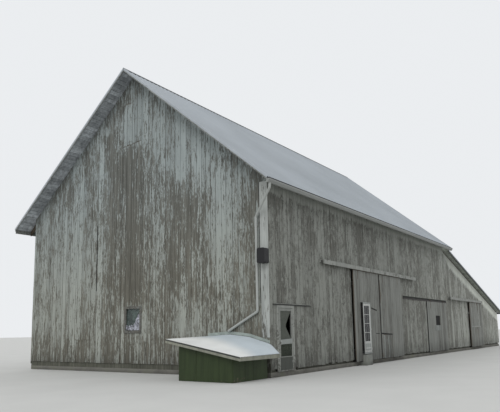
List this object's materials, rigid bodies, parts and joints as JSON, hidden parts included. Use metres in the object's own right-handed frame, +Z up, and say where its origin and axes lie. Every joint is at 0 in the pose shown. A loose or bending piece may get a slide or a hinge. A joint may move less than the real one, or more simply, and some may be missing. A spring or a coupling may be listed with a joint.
{
  "type": "timber barn with lean-to",
  "caption": "Weathered timber barn with a steep gable roof, a long low lean-to, sliding and hinged doors, and a small annex at the corner.",
  "frame": {"origin": "centre of the whole building's footprint, at ground level", "axes": "+X along the ridge, from the near gable toward the lean-to; +Y from the door side to the rear; +Z up"},
  "size_m": [35.35, 13.33, 11.6391],
  "materials": {
    "concrete": "rough cast concrete",
    "frame_timber": "rough sawn, weathered",
    "gable_boards": "weathered boards with peeling pale paint",
    "wall_boards": "weathered boards with worn grey-green paint",
    "door_boards": "weathered boards with worn grey-green paint",
    "roof_metal": "dull pale grey metal sheet on boards",
    "roof_trim": "worn paint on boards",
    "track_boards": "worn paint on boards, with a steel rail",
    "white_trim": "old white paint",
    "gutter_metal": "old off-white paint",
    "storm_door_paint": "worn grey paint",
    "track_iron": "dark rusted flat bar",
    "glass": "clear, dusty",
    "meter_metal": "dark satin paint",
    "annex_boards": "dark green paint",
    "annex_metal": "white corrugated sheet",
    "annex_trim_paint": "beige paint"
  },
  "bodies": {
    "barn": {"annex_roof": "annex_metal", "annex_trim": "annex_trim_paint", "annex_walls": "annex_boards", "barge_boards": "roof_trim", "corner_board": "white_trim", "door_lintels": "frame_timber", "door_step": "concrete", "downspout": "gutter_metal", "eave_fascias": "roof_trim", "far_bent": "frame_timber", "far_door_track": "track_boards", "far_gable_wall": "gable_boards", "footing": "concrete", "front_gutter": "gutter_metal", "front_roof_slope": "roof_metal", "front_wall_at_corner": "wall_boards", "front_wall_at_leanto": "wall_boards", "front_wall_between_doors": "wall_boards", "front_wall_left": "wall_boards", "front_wall_over_far_door": "wall_boards", "front_wall_over_main_doors": "wall_boards", "front_wall_over_middle_door": "wall_boards", "front_wall_over_storm_door": "wall_boards", "front_wall_right": "wall_boards", "leanto_end_wall": "wall_boards", "leanto_frames": "frame_timber", "leanto_rafters": "frame_timber", "leanto_roof": "roof_metal", "leanto_trim": "roof_trim", "loft_hatch": "gable_boards", "main_door_track": "track_boards", "main_rafters": "frame_timber", "meter_box_and_conduit": "meter_metal", "middle_door_track": "track_iron", "near_bent": "frame_timber", "near_gable_wall": "gable_boards", "plates_and_purlins": "frame_timber", "rear_roof_slope": "roof_metal", "rear_wall": "wall_boards", "ridge_cap": "roof_metal", "second_bent": "frame_timber", "storm_door_casing": "white_trim", "third_bent": "frame_timber", "timber_sills": "frame_timber", "window_frame": "white_trim", "window_glass": "glass"},
    "main_left_door": {"main_left_leaf": "door_boards", "walk_door_frame": "white_trim"},
    "main_right_door": {"main_right_leaf": "door_boards"},
    "walk_door_leaf": {"walk_door": "white_trim", "walk_door_glass": "glass"},
    "middle_door": {"middle_leaf": "door_boards"},
    "far_door": {"far_leaf": "door_boards"},
    "storm_door_leaf": {"storm_door": "storm_door_paint", "storm_door_pane": "glass"}
  },
  "joints": [
    {"name": "main_left_door_slide", "type": "slide", "parent": "barn", "child": "main_left_door", "axis": [-1, 0, 0], "range_m": [0, 2.5]},
    {"name": "main_right_door_slide", "type": "slide", "parent": "barn", "child": "main_right_door", "axis": [1, 0, 0], "range_m": [0, 1.95]},
    {"name": "walk_door_hinge", "type": "hinge", "parent": "main_left_door", "child": "walk_door_leaf", "pos_m": [-8.185, -6.378, 1.43], "axis": [0, 0, 1], "range_deg": [0, 100]},
    {"name": "middle_door_slide", "type": "slide", "parent": "barn", "child": "middle_door", "axis": [-1, 0, 0], "range_m": [0, 3.4]},
    {"name": "far_door_slide", "type": "slide", "parent": "barn", "child": "far_door", "axis": [-1, 0, 0], "range_m": [0, 3.3]},
    {"name": "storm_door_hinge", "type": "hinge", "parent": "barn", "child": "storm_door_leaf", "pos_m": [-14.25, -6.203, 1.15], "axis": [0, 0, 1], "range_deg": [0, 95]}
  ]
}
